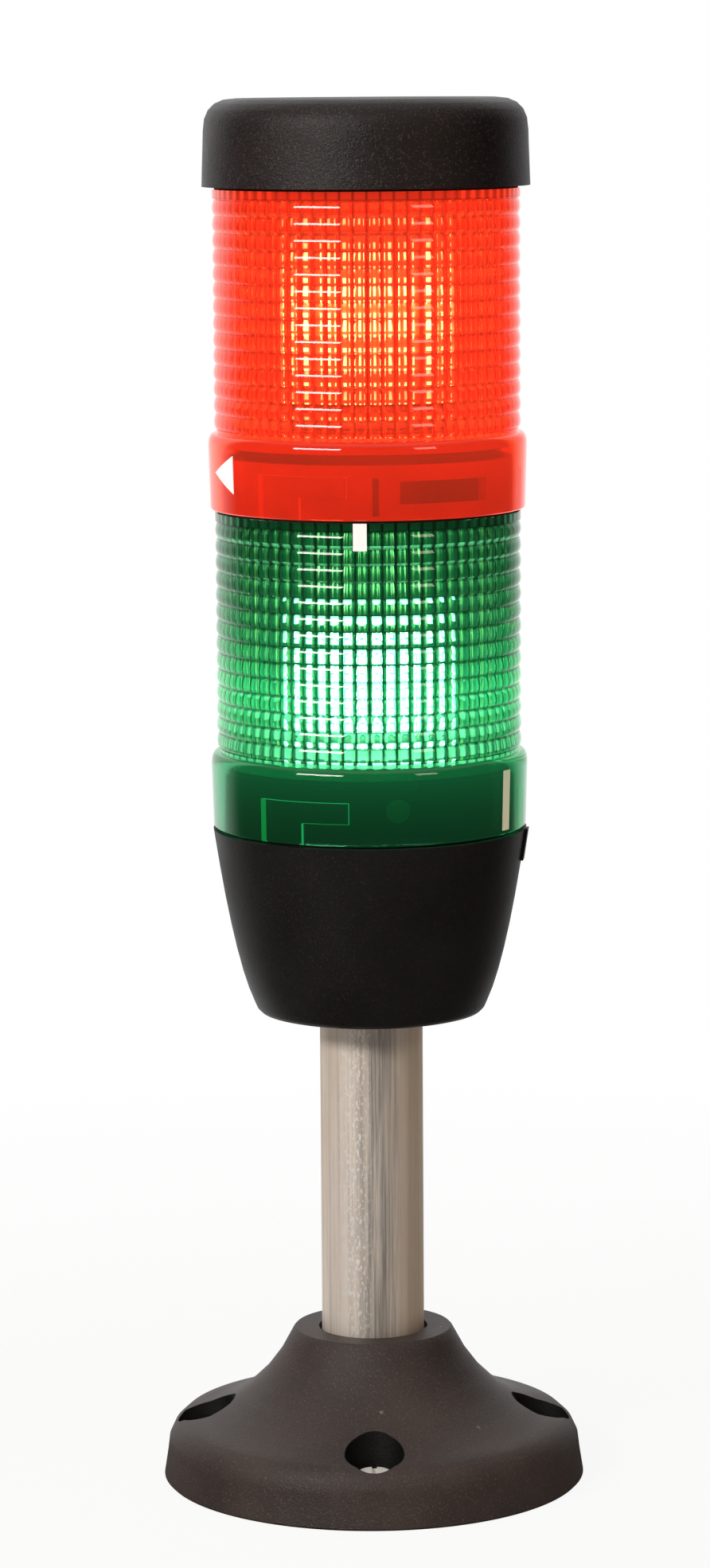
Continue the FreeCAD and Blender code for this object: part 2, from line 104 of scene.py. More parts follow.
def colour(name, description, rgb):
    """A colour in linear light."""
    return FloatVectorProperty(name=name, description=description, default=rgb, size=3, min=0.0,
                               max=1.0, subtype="COLOR")


def degrees(name, description, value):
    """An angle, given in degrees."""
    return FloatProperty(name=name, description=description, default=math.radians(value),
                         subtype="ANGLE", unit="ROTATION")


class StackLightLensSettings(bpy.types.PropertyGroup):
    """The ribbed and fluted lens of a light module."""
    crest_radius: length("Crest radius", "Outer radius over the ribs", 36.65)
    rib_depth: length("Rib depth", "Height of a rib over the valley", 0.55)
    rib_count: IntProperty(name="Ribs", description="Ribs above the collar", default=14, min=2, max=40)
    rib_middle: plain_number("Rib middle", "Where a rib bulges most, up its height", 0.42, 0.2, 0.8)
    rib_round: length("Rim round", "Rounding of the plain top band's lower corner", 0.3)
    first_rib_gap: length("First rib gap", "From the shoulder to the first crest", 0.75)
    top_band: length("Top band", "Plain band above the last rib", 2.2)
    collar_radius: length("Collar radius", "Collar at the shoulder", 38.1)
    collar_bottom_radius: length("Collar bottom radius", "Collar at its lower edge", 37.7)
    collar_edge: length("Collar edge", "Rounding of the collar's lower edge", 1.6)
    collar_height: length("Collar height", "Lower edge to the shoulder's start", 15.3)
    shoulder_height: length("Shoulder height", "Height of the round shoulder", 3.1)
    flute_count: IntProperty(name="Flutes", description="Flutes inside", default=72, min=12, max=144)
    flute_depth: length("Flute depth", "Depth of the flutes", 0.75)
    flute_end: length("Flute end", "Depth of the flutes' ends in the top rebate", 0.45)
    wall: length("Wall", "Wall from the rib valleys to the flute roots", 1.7)
    bore_radius: length("Bore radius", "Bore of the collar", 34.9)
    bore_height: length("Bore height", "Height of the collar's bore", 14.4)
    carrier_seat: length("Carrier seat", "Height of the ledge over the carrier", 17.6)
    groove_radius: length("Groove radius", "Floor of the bayonet grooves", 36.5)
    groove_low: length("Groove low", "Lower edge of the closing leg", 5.2)
    groove_high: length("Groove high", "Upper edge of the closing leg", 10.2)
    groove_first: degrees("Groove start", "Azimuth of the first groove's open end", -44.0)
    groove_arc: degrees("Groove arc", "Arc of the closing leg", 36.0)
    entry_arc: degrees("Entry arc", "Arc of the open leg", 18.0)
    rebate_radius: length("Rebate radius", "Recess for the top plate", 35.2)
    rebate_depth: length("Rebate depth", "Depth of the recess for the top plate", 2.0)


class StackLightFinishSettings(bpy.types.PropertyGroup):
    """Colours of the finishes and strengths of the lamps."""
    red: colour("Red plastic", "Tint of the red lens", (0.77, 0.085, 0.028))
    red_scatter: colour("Red scatter", "Lamp light scattered in the red plastic", (0.33, 0.026, 0.01))
    green: colour("Green plastic", "Tint of the green lens", (0.055, 0.36, 0.165))
    green_scatter: colour("Green scatter", "Lamp light scattered in the green plastic", (0.014, 0.24, 0.085))
    cap_black: colour("Cap plastic", "Cap", (0.006, 0.002, 0.002))
    bowl_black: colour("Bowl plastic", "Terminal bowl", (0.0045, 0.004, 0.0035))
    foot_black: colour("Foot plastic", "Foot", (0.036, 0.025, 0.022))
    aluminium: colour("Aluminium", "Bare tube", (0.98, 0.89, 0.8))
    natural: colour("Natural plastic", "Inner mouldings", (0.8, 0.78, 0.72))
    zinc: colour("Zinc", "Plated screws", (0.68, 0.67, 0.62))
    print_white: colour("White print", "Index marks", (0.9, 0.88, 0.86))
    red_glow: plain_number("Red lamp", "Strength of the red lamp's column", 3.0)
    green_glow: plain_number("Green lamp", "Strength of the green lamp's column", 24.0)
    red_points: plain_number("Red points", "Strength of the red lamp's light points", 170.0)
    green_points: plain_number("Green points", "Strength of the green lamp's light points", 130.0)


class StackLightMarkSettings(bpy.types.PropertyGroup):
    """Printed marks, the foot's wells, mouth and screws, and the boss behind the collar."""
    triangle_azimuth: degrees("Triangle azimuth", "Middle of the triangle", -64.0)
    triangle_width: length("Triangle width", "Along the collar", 9.8)
    triangle_height: length("Triangle height", "Up the collar", 9.0)
    triangle_level: length("Triangle level", "Centre above the red collar's lower edge", 9.6)
    stripe_azimuth: degrees("Stripe azimuth", "Middle of the white stripe", -3.2)
    stripe_width: length("Stripe width", "Along the lens", 3.2)
    stripe_height: length("Stripe height", "Down from the lens's top", 6.4)
    line_azimuth: degrees("Line azimuth", "Middle of the cream line on the green collar", 58.5)
    line_width: length("Line width", "Along the collar", 3.0)
    line_low: length("Line low", "Lower end above the collar's edge", 1.2)
    line_high: length("Line high", "Upper end above the collar's edge", 15.6)
    well_radius: length("Well radius", "Radius of the foot's screw wells", 7.3)
    mouth_radius: length("Mouth radius", "Rim of the foot's mouth round the tube", 14.0)
    mouth_level: length("Mouth level", "Height of that rim", 38.0)
    screw_circle: length("Screw circle", "Radius of the fixing circle", 41.0)
    screw_seat: length("Screw seat", "Height of the wells' floor", 7.4)
    screw_radius: length("Screw radius", "Radius of a fixing screw's head", 4.1)
    screw_head: length("Screw head", "Height of a fixing screw's head", 4.5)
    boss_azimuth: degrees("Boss azimuth", "Round boss on the base plate's ring", 10.6)
    boss_level: length("Boss level", "Centre above the green collar's lower edge", 8.2)
    boss_radius: length("Boss radius", "Radius of the round boss", 2.8)
    ring_radius: length("Ring radius", "Outer radius of the base plate's ring", 34.6)


class StackLightStageSettings(bpy.types.PropertyGroup):
    """Camera and light."""
    camera_distance: length("Camera distance", "From the tower's axis", 1182.0)
    camera_height: length("Camera height", "Above the floor", 342.5)
    camera_side: length("Camera side", "Left of the tower's axis", 3.55)
    camera_tilt: degrees("Camera tilt", "Down from level", 8.25)
    camera_roll: degrees("Camera roll", "Turn about the view", -0.39)
    focal: plain_number("Focal length", "Lens on a 36 mm sensor", 113.5, 10.0)
    key: plain_number("Key light", "Power of the front left light", 10.5)
    fill: plain_number("Fill light", "Power of the right light", 1.6)
    front: colour("Front tone", "The surroundings in front of the tower", (0.05, 0.041, 0.037))


# Meshes from arrays

def grid_mesh(name, points, closed_rows, closed_columns):
    """A surface from an array of points, rows by columns.  Neighbouring points make
    quads, and a closed direction joins its last line to its first."""
    rows, columns = points.shape[:2]
    row, column = np.meshgrid(np.arange(rows if closed_rows else rows - 1),
                              np.arange(columns if closed_columns else columns - 1), indexing="ij")
    below, beside = (row + 1) % rows, (column + 1) % columns
    quads = np.stack([row * columns + column, row * columns + beside,
                      below * columns + beside, below * columns + column], axis=-1).reshape(-1, 4)
    mesh = bpy.data.meshes.new(name)
    mesh.from_pydata(points.reshape(-1, 3), [], quads)
    return mesh


def cylinder_points(radius, azimuth, height):
    """A point at radius r, azimuth a from the front and height z is (r sin a, -r cos a, z)."""
    radius, azimuth, height = np.broadcast_arrays(radius, azimuth, height)
    return np.stack([radius * np.sin(azimuth), -radius * np.cos(azimuth), height], axis=-1)


def finish_piece(mesh, finish, body, sharp):
    """Smooth the sides, keep edges over an angle in degrees sharp, and let the piece
    ride its body."""
    mesh.validate()
    mesh.shade_smooth()
    mesh.set_sharp_from_angle(angle=math.radians(sharp))
    mesh.materials.append(finish)
    piece = bpy.data.objects.new(mesh.name, mesh)
    bpy.context.scene.collection.objects.link(piece)
    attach(piece, body)
    return piece


def corner_curve(t, start, corner, end):
    """Points of the curve (1-t)^2 start + 2t(1-t) corner + t^2 end."""
    t = t[:, None]
    return (1 - t) ** 2 * start + 2 * t * (1 - t) * corner + t ** 2 * end


def rounded(corners, radii, steps=4):
    """Replace each corner by a curve from a radius before it to a radius after it."""
    corners = np.asarray(corners, float)
    line = []
    for before, here, after, radius in zip(corners[:-2], corners[1:-1], corners[2:], radii):
        if radius == 0:
            line.append(here[None])
            continue
        back, ahead = before - here, after - here
        reach = min(radius, 0.49 * np.linalg.norm(back), 0.49 * np.linalg.norm(ahead))
        start = here + back / np.linalg.norm(back) * reach
        end = here + ahead / np.linalg.norm(ahead) * reach
        line.append(corner_curve(np.linspace(0.0, 1.0, steps), start, here, end))
    return np.vstack([corners[:1]] + line + [corners[-1:]])


def rib_rows(size, height):
    """Where the ribs of a lens start above its lower edge, and their pitch."""
    first = size.collar_height + size.shoulder_height + size.first_rib_gap
    return first, (height - size.top_band - first) / size.rib_count


def lens_profile(size, height):
    """The outside of a lens from its lower edge up, as radius and height: a drafted
    collar, a round shoulder, ribs, and a plain top band.  At a share w of the way from
    its middle to its edge, a rib has sunk by depth w^2 above, and w^2.4 below."""
    crest = size.crest_radius
    valley = crest - size.rib_depth
    shoulder = size.collar_height + size.shoulder_height
    first, pitch = rib_rows(size, height)
    below = (size.collar_radius, size.collar_height)
    above = (valley, shoulder)
    turn = corner_curve(np.linspace(0, 1, 9)[1:-1], np.array(below),
                        np.array((size.collar_radius, shoulder)), np.array(above))
    corners = [(size.collar_bottom_radius - size.collar_edge, 0), (size.collar_bottom_radius, 0)]
    corners += [below, *turn, above]
    radii = [size.collar_edge, 0] + [0] * len(turn) + [0.1 * MM]
    share = np.array([0.0, 0.06, 0.16, 0.28, 0.4, 0.52, 0.65, 0.78, 0.9])
    rising = share < size.rib_middle
    away = np.where(rising, 1 - share / size.rib_middle, (share - size.rib_middle) / (1 - size.rib_middle))
    bulge = crest - size.rib_depth * away ** np.where(rising, 2.4, 2.0)
    for number in range(size.rib_count):
        corners += list(zip(bulge, first + (number + share) * pitch))
        radii += [0] * len(share)
    corners += [(valley, height - size.top_band), (crest, height - size.top_band), (crest, height)]
    radii += [0, size.rib_round]
    return rounded(corners, radii)


def lens_azimuths(size):
    """Six steps to a flute, with a close pair of columns at each groove edge."""
    steps = 6 * size.flute_count
    even = np.linspace(-math.pi, math.pi, steps, endpoint=False)
    edges = []
    for number in range(3):
        start = size.groove_first + number * 2 * math.pi / 3
        edges += [start, start + size.entry_arc, start + size.groove_arc]
    edges = (np.array(edges) + math.pi) % (2 * math.pi) - math.pi
    gap = 2e-4
    pairs = np.concatenate([edges - gap, edges + gap])
    clear = np.min(np.abs(even[:, None] - edges[None]), axis=1) > 4 * gap
    return np.sort(np.concatenate([even[clear], pairs]))


def inside_groove(size, azimuth, arc):
    """Whether an azimuth lies within an arc from the start of one of the three grooves."""
    start = size.groove_first + np.arange(3)[:, None] * 2 * math.pi / 3
    return (((azimuth[None] - start) % (2 * math.pi)) < arc).any(axis=0)


def lens_points(size, height, base):
    """A lens as a closed surface: each row is a ring of the outside profile or of the
    inside.  Inside, the flutes' radius goes from root to tip and back as sin(w pi/2) of
    a triangle wave w of the azimuth, and the grooves' radius steps between the bore and
    the floor."""
    azimuth = lens_azimuths(size)
    outside = lens_profile(size, height)
    root = size.crest_radius - size.rib_depth - size.wall
    wave = 1 - np.abs(((azimuth * size.flute_count / (2 * math.pi)) % 1.0) * 2 - 1)
    flute = root - size.flute_depth * np.sin(wave * math.pi / 2)
    rebate = size.rebate_radius + size.flute_end * wave
    leg = np.where(inside_groove(size, azimuth, size.groove_arc), size.groove_radius, size.bore_radius)
    entry = np.where(inside_groove(size, azimuth, size.entry_arc), size.groove_radius, size.bore_radius)
    flat = np.ones_like(azimuth)
    ledge = (root + 0.05 * MM) * flat
    step = 0.02 * MM
    inside = [
        (rebate, height),
        (rebate, height - size.rebate_depth),
        (flute, height - size.rebate_depth),
        (flute, size.carrier_seat),
        (ledge, size.carrier_seat),
        (ledge, size.bore_height),
        (size.bore_radius * flat, size.bore_height),
        (size.bore_radius * flat, size.groove_high + step),
        (leg, size.groove_high),
        (leg, size.groove_low),
        (entry, size.groove_low - step),
        (entry, 0.0),
    ]
    radius = np.vstack([outside[:, :1] * flat] + [line[0] for line in inside])
    level = np.concatenate([outside[:, 1], [line[1] for line in inside]])
    return cylinder_points(radius, azimuth[None], base + level[:, None])


# Nodes

def put(tree, node, socket, value):
    """Link a socket to another node's output, or set it to a number, vector or colour."""
    target = node.inputs[socket]
    if isinstance(value, bpy.types.NodeSocket):
        tree.links.new(value, target)
    elif isinstance(value, (tuple, list)) and target.type == "RGBA":
        target.default_value = (*value[:3], 1.0)
    else:
        target.default_value = value


def put_all(tree, node, **values):
    """Link or set several sockets, with _ for a space in their names."""
    for socket, value in values.items():
        put(tree, node, socket.replace("_", " "), value)


def added(tree, kind, **values):
    """A new shader node with some of its sockets linked or set."""
    node = tree.nodes.new(f"ShaderNode{kind}")
    put_all(tree, node, **values)
    return node


def calculation(tree, operation, first, second=None):
    """One step of arithmetic on numbers."""
    node = added(tree, "Math")
    node.operation = operation
    put(tree, node, 0, first)
    if second is not None:
        put(tree, node, 1, second)
    return node.outputs[0]


def product(tree, first, second):
    """Two numbers multiplied."""
    return calculation(tree, "MULTIPLY", first, second)


def vector_step(tree, operation, output, first, second=None):
    """One step of arithmetic on vectors, which gives a Vector or a Value."""
    node = added(tree, "VectorMath")
    node.operation = operation
    put(tree, node, 0, first)
    if second is not None:
        put(tree, node, 1, second)
    return node.outputs[output]


def blended(tree, share, first, second):
    """A colour a share of the way from the first to the second."""
    node = added(tree, "Mix")
    node.data_type = "RGBA"
    # A colour mix has its two colours at sockets 6 and 7, and gives output 2
    for socket, value in ((0, share), (6, first), (7, second)):
        put(tree, node, socket, value)
    return node.outputs[2]


def spread(tree, value, low, high, to_low=0.0, to_high=1.0):
    """Spread the range from low to high over the one from to_low to to_high, clamped."""
    node = added(tree, "MapRange")
    for socket, number in enumerate((value, low, high, to_low, to_high)):
        put(tree, node, socket, number)
    return node.outputs[0]


def varied(tree, mask, low, high):
    """From low to high over the range that a noise mostly keeps to."""
    return spread(tree, mask, 0.3, 0.7, low, high)


def object_place(tree):
    """A point's place on the tower."""
    return added(tree, "TexCoord").outputs["Object"]


def components(tree, vector=None):
    """The X, Y and Z of a vector, or else of a point's place."""
    return added(tree, "SeparateXYZ", Vector=vector or object_place(tree)).outputs


def distance(tree, x, y):
    """The length of the level vector x, y."""
    return vector_step(tree, "LENGTH", "Value", added(tree, "CombineXYZ", X=x, Y=y).outputs[0])


def around(tree):
    """The azimuth about the axis, from the front."""
    place = components(tree)
    return calculation(tree, "ARCTAN2", place["X"], product(tree, place["Y"], -1.0))


def near_value(tree, value, middle, full, end):
    """One within a distance of a value, falling to nothing at a greater distance."""
    off = calculation(tree, "ABSOLUTE", calculation(tree, "SUBTRACT", value, middle))
    return spread(tree, off, end, full)


def noise(tree, scale, detail=2.0, roughness=0.5, stretch=(1.0, 1.0, 1.0)):
    """Noise with a scale in grains to the metre, drawn out along an axis where the
    stretch is under one."""
    mapping = added(tree, "Mapping", Vector=object_place(tree), Scale=stretch)
    node = added(tree, "TexNoise", Vector=mapping.outputs[0], Scale=scale, Detail=detail,
                 Roughness=roughness)
    return node.outputs["Fac"]


def bump(tree, strength, distance, height):
    """The normal of a bumpy surface."""
    return added(tree, "Bump", Strength=strength, Distance=distance, Height=height).outputs[0]


# Shared effects

def effect_group(name, inputs, outputs, build):
    """A shared effect: a node group whose named sockets give masks, values or a normal.
    inputs maps a name to its usual value, and outputs lists names."""
    if name in bpy.data.node_groups:
        return bpy.data.node_groups[name]
    tree = bpy.data.node_groups.new(name, "ShaderNodeTree")
    for label, value in inputs.items():
        socket = tree.interface.new_socket(name=label, in_out="INPUT", socket_type="NodeSocketFloat")
        socket.default_value = value
    for label in outputs:
        kind = "NodeSocketVector" if label == "Normal" else "NodeSocketFloat"
        tree.interface.new_socket(name=label, in_out="OUTPUT", socket_type=kind)
    start = tree.nodes.new("NodeGroupInput")
    end = tree.nodes.new("NodeGroupOutput")
    for label, value in build(tree, start.outputs).items():
        tree.links.new(value, end.inputs[label])
    return tree


def use_group(tree, group, **inputs):
    """Put a shared effect into a material and set its inputs."""
    node = added(tree, "Group")
    node.node_tree = group
    put_all(tree, node, **inputs)
    return node.outputs


def moulded_grain():
    """Spark-eroded grain: fine bumps, with masks of specks for painted glints, of slow
    unevenness and of rare scuffs."""
    def build(tree, given):
        fine = noise(tree, scale=1900.0, detail=3.0, roughness=0.7)
        specks = noise(tree, scale=2100.0, detail=1.0)
        marks = noise(tree, scale=330.0, detail=2.0, roughness=0.6, stretch=(1.0, 1.0, 0.4))
        places = noise(tree, scale=70.0, detail=1.0)
        marks = spread(tree, marks, 0.72, 0.76)
        places = spread(tree, places, 0.56, 0.6)
        return {"Normal": bump(tree, given["Depth"], 0.12 * MM, fine),
                "Specks": spread(tree, specks, 0.58, 0.7),
                "Cloud": noise(tree, scale=42.0, detail=3.0),
                "Scuffs": product(tree, marks, places)}
    return effect_group("Moulded grain", {"Depth": 0.7}, ("Normal", "Specks", "Cloud", "Scuffs"), build)


def drawn_streaks():
    """Streaks along a drawn tube, patches of stain, a worn band at the azimuth Band with short
    scratches at its left painted as bright glints, and a mask of the right side for painted shade."""
    def build(tree, given):
        broad = noise(tree, scale=420.0, detail=3.0, roughness=0.6, stretch=(1.0, 1.0, 0.008))
        fine = noise(tree, scale=1500.0, detail=4.0, roughness=0.75, stretch=(1.0, 1.0, 0.02))
        patches = noise(tree, scale=60.0, detail=4.0, roughness=0.65, stretch=(1.0, 1.0, 0.3))
        dots = noise(tree, scale=1700.0, detail=3.0, roughness=0.6, stretch=(1.0, 1.0, 0.45))
        turn = around(tree)
        band = near_value(tree, turn, given["Band"], full=0.12, end=0.55)
        left = calculation(tree, "SUBTRACT", given["Band"], 0.5)
        beside = near_value(tree, turn, left, full=0.1, end=0.4)
        height = calculation(tree, "ADD", fine, product(tree, dots, 0.8))
        return {"Broad": broad, "Fine": fine, "Patches": patches,
                "Scratches": product(tree, spread(tree, dots, 0.53, 0.6), beside),
                "Worn": product(tree, band, spread(tree, fine, 0.38, 0.6, 0.25, 1.0)),
                "Right": spread(tree, turn, 0.2, 0.9), "Normal": bump(tree, 0.5, 0.06 * MM, height)}
    return effect_group("Drawn streaks", {"Band": 0.12},
                        ("Broad", "Fine", "Patches", "Scratches", "Worn", "Right", "Normal"), build)


def moulded_sheen():
    """Faint unevenness of a clear moulding."""
    def build(tree, given):
        wave = noise(tree, scale=120.0)
        return {"Wave": wave, "Normal": bump(tree, 0.03, 0.2 * MM, wave)}
    return effect_group("Moulded sheen", {}, ("Wave", "Normal"), build)


def refraction_shade_lines():
    """Painted shade in thin lines where a lens bends the light away: at the flutes' roots and
    in the valleys between the ribs, which start at First and repeat at Pitch."""
    def build(tree, given):
        height = components(tree)["Z"]
        half = calculation(tree, "DIVIDE", math.pi, given["Flutes"])
        root = calculation(tree, "DIVIDE", calculation(tree, "PINGPONG", around(tree), half), half)
        above = calculation(tree, "SUBTRACT", height, given["First"])
        valley = calculation(tree, "PINGPONG", above, product(tree, given["Pitch"], 0.5))
        level = spread(tree, calculation(tree, "DIVIDE", valley, given["Pitch"]), 0.15, 0.05)
        both = calculation(tree, "MAXIMUM", spread(tree, root, 0.26, 0.1), level)
        return {"Lines": product(tree, both, calculation(tree, "GREATER_THAN", above, 0.0))}
    return effect_group("Moulding lines", {"Flutes": 72.0, "First": 0.18, "Pitch": 0.004}, ("Lines",), build)


def scattered_light():
    """How much of a lamp's light reaches a height: all of it at Level, falling off to a
    floor as 1 / (1 + (d / reach)^2)."""
    def build(tree, given):
        height = components(tree)["Z"]
        away = calculation(tree, "SUBTRACT", height, given["Level"])
        away = calculation(tree, "DIVIDE", away, given["Reach"])
        below = calculation(tree, "ADD", 1.0, product(tree, away, away))
        fall = calculation(tree, "DIVIDE", 1.0, below)
        return {"Glow": calculation(tree, "MAXIMUM", fall, given["Floor"])}
    return effect_group("Scattered light", {"Level": 0.2, "Reach": 0.03, "Floor": 0.2}, ("Glow",), build)


# Finishes

def material(name, **sockets):
    """A material with some of its shader's sockets set."""
    made = bpy.data.materials.new(name)
    made.use_nodes = True
    shader = made.node_tree.nodes["Principled BSDF"]
    put_all(made.node_tree, shader, **sockets)
    return made, made.node_tree, shader


def scaled(rgb, share):
    """A colour made darker or lighter."""
    return tuple(min(1.0, share * c) for c in rgb)


def black_plastic(name, rgb, wear, roughness, sparkle, depth):
    """Grained black plastic, clouded, with bright specks in the grain that are painted glints, and pale
    scuffs.
    """
    made, tree, shader = material(name, IOR=1.46)
    grain = use_group(tree, moulded_grain(), Depth=depth)
    tone = blended(tree, spread(tree, grain["Cloud"], 0.35, 0.7), rgb, scaled(rgb, 1.7))
    # Painted glints: specks of the grain take a bright colour
    tone = blended(tree, product(tree, grain["Specks"], sparkle), tone, GLINT_SPECK)
    tone = blended(tree, product(tree, grain["Scuffs"], 2.2 * wear), tone, SCUFF)
    put_all(tree, shader, Base_Color=tone, Normal=grain["Normal"],
            Roughness=varied(tree, grain["Cloud"], roughness, roughness + 0.12))
    return made


def bare_aluminium(rgb):
    """Drawn aluminium, streaked, with brown stains in patches and painted shade, browner and darker, on its
    right side, worn dark along one band and scratched beside it, the scratches painted as bright glints."""
    made, tree, shader = material("Drawn aluminium", Metallic=0.45)
    streaks = use_group(tree, drawn_streaks(), Band=0.12)
    dark = scaled(rgb, 0.5)
    stain_and_shade_tone = tuple(a * b for a, b in zip(rgb, STAIN_AND_SHADE))
    tone = blended(tree, spread(tree, streaks["Broad"], 0.45, 0.68, 0.0, 0.7), rgb, dark)
    tone = blended(tree, spread(tree, streaks["Patches"], 0.45, 0.75, 0.0, 0.6), tone, stain_and_shade_tone)
    # Painted shade: the right side turns browner and darker
    tone = blended(tree, product(tree, streaks["Right"], 0.75), tone, stain_and_shade_tone)
    tone = blended(tree, spread(tree, streaks["Fine"], 0.5, 0.7, 0.0, 0.35), tone, dark)
    tone = blended(tree, product(tree, streaks["Worn"], 0.75), tone, WORN)
    # Scratches, partly real wear and partly painted glints: they take a near white colour
    tone = blended(tree, streaks["Scratches"], tone, SCRATCH_GLINT)
    put_all(tree, shader, Base_Color=tone, Normal=streaks["Normal"],
            Roughness=varied(tree, streaks["Patches"], 0.48, 0.62))
    return made


def tinted_plastic(name, rgb, scatter, light, lines, depth):
    """Clear tinted plastic.  What it scatters of the lamp's light is its emission, and
    painted shade lines, where its moulding bends the light away, darken both.  light and lines set the two
    effects."""
    made, tree, shader = material(name, Transmission_Weight=1.0, IOR=1.5, Emission_Strength=1.0)
    sheen = use_group(tree, moulded_sheen())
    glow = use_group(tree, scattered_light(), **light)["Glow"]
    grid = product(tree, use_group(tree, refraction_shade_lines(), **lines)["Lines"], depth)
    tone = blended(tree, sheen["Wave"], rgb, scaled(rgb, 0.85))
    # Painted shade: along the lines the glow and the base colour go dark
    glow = product(tree, glow, calculation(tree, "SUBTRACT", 1.0, grid))
    put_all(tree, shader, Base_Color=blended(tree, grid, tone, scaled(rgb, 0.12)),
            Emission_Color=blended(tree, glow, BLACK, scatter),
            Roughness=varied(tree, sheen["Wave"], 0.02, 0.05), Normal=sheen["Normal"])
    return made


def plain_moulding(name, rgb, roughness=0.45, light=BLACK):
    """Opaque moulded plastic, print or zinc, with painted light as emission where it has light."""
    made, tree, shader = material(name, IOR=1.46, Emission_Strength=1.0, Emission_Color=light)
    grain = use_group(tree, moulded_grain(), Depth=0.4)
    tone = blended(tree, spread(tree, grain["Cloud"], 0.35, 0.65), rgb, scaled(rgb, 0.8))
    put_all(tree, shader, Base_Color=tone, Normal=grain["Normal"],
            Roughness=varied(tree, grain["Cloud"], roughness, roughness + 0.1))
    return made


def plated_metal(name, rgb, roughness=0.3):
    """Plated metal with patches of stain."""
    made, tree, shader = material(name, Metallic=1.0)
    patches = use_group(tree, drawn_streaks())["Patches"]
    put_all(tree, shader, Base_Color=blended(tree, patches, rgb, scaled(rgb, 0.7)),
            Roughness=varied(tree, patches, roughness - 0.08, roughness + 0.1))
    return made


def glowing_body(name, light, strength, middle, reach):
    """A lamp's moulded column, lit by its light points and brightest at its middle."""
    made, tree, shader = material(name, IOR=1.5, Roughness=0.4, Emission_Strength=strength)
    grain = use_group(tree, moulded_grain())
    fall = use_group(tree, scattered_light(), Level=middle, Reach=reach, Floor=0.1)["Glow"]
    put_all(tree, shader, Emission_Color=blended(tree, fall, BLACK, light),
            Base_Color=blended(tree, grain["Cloud"], (0.85, 0.85, 0.82), (0.78, 0.78, 0.75)))
    return made


def light_points(name, strength, row, middle, reach):
    """Square light points with a bright die at the middle of each.  The dies stand at a
    pitch up the column from the first row, on each of its sides, and fall off from its
    middle."""
    made, tree, shader = material(name, IOR=1.5, Base_Color=(0.8, 0.79, 0.76), Roughness=0.3,
                                  Emission_Strength=strength)
    x, y, z = components(tree)
    turn = calculation(tree, "PINGPONG", calculation(tree, "ARCTAN2", y, x), math.pi / LAMP_SIDES)
    aside = product(tree, turn, distance(tree, x, y))
    above = calculation(tree, "PINGPONG", calculation(tree, "SUBTRACT", z, row), LED_PITCH / 2)
    off = calculation(tree, "MAXIMUM", aside, above)
    die = spread(tree, off, 0.5 * LED_DIE, 0.7 * LED_DIE, 1.0, 0.04)
    fall = use_group(tree, scattered_light(), Level=middle, Reach=reach, Floor=0.02)["Glow"]
    share = product(tree, fall, die)
    put(tree, shader, "Emission Color", blended(tree, share, BLACK, POINT_LIGHT))
    return made


# Frame nodes

def soften_group():
    """Join a node's loose triangles, smooth its sides and keep edges over 30 degrees sharp."""
    name = "Smooth sides"
    if name in bpy.data.node_groups:
        return bpy.data.node_groups[name]
    tree = bpy.data.node_groups.new(name, "GeometryNodeTree")
    for way in ("INPUT", "OUTPUT"):
        tree.interface.new_socket(name="Geometry", in_out=way, socket_type="NodeSocketGeometry")
    start = tree.nodes.new("NodeGroupInput")
    end = tree.nodes.new("NodeGroupOutput")
    merge = tree.nodes.new("GeometryNodeMergeByDistance")
    put(tree, merge, "Distance", 0.001 * MM)
    angle = tree.nodes.new("GeometryNodeInputMeshEdgeAngle")
    gentle = tree.nodes.new("FunctionNodeCompare")
    gentle.data_type = "FLOAT"
    gentle.operation = "LESS_EQUAL"
    put(tree, gentle, 0, angle.outputs["Unsigned Angle"])
    put(tree, gentle, 1, math.radians(30))
    faces = tree.nodes.new("GeometryNodeSetShadeSmooth")
    faces.domain = "FACE"
    edges = tree.nodes.new("GeometryNodeSetShadeSmooth")
    edges.domain = "EDGE"
    put(tree, merge, "Geometry", start.outputs[0])
    put(tree, faces, "Geometry", merge.outputs[0])
    put(tree, edges, "Geometry", faces.outputs[0])
    put(tree, edges, "Shade Smooth", gentle.outputs[0])
    put(tree, end, 0, edges.outputs[0])
    return tree


def dress(names, finish):
    """Give frame nodes their finish and smooth their sides."""
    for name in names:
        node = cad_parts[name]
        node.data.materials.clear()
        node.data.materials.append(finish)
        node.modifiers.new("Smooth sides", "NODES").node_group = soften_group()


# Stage

def room_light(tree, place):
    """How white the room is towards a place: white behind and at the left, dark in
    front and at the right, by y - 0.15 x of the level direction."""
    level = vector_step(tree, "MULTIPLY", "Vector", place, (1.0, 1.0, 0.0))
    unit = vector_step(tree, "NORMALIZE", "Vector", level)
    lean = vector_step(tree, "DOT_PRODUCT", "Value", unit, (-0.15, 1.0, 0.0))
    return spread(tree, lean, 0.5, 0.9)


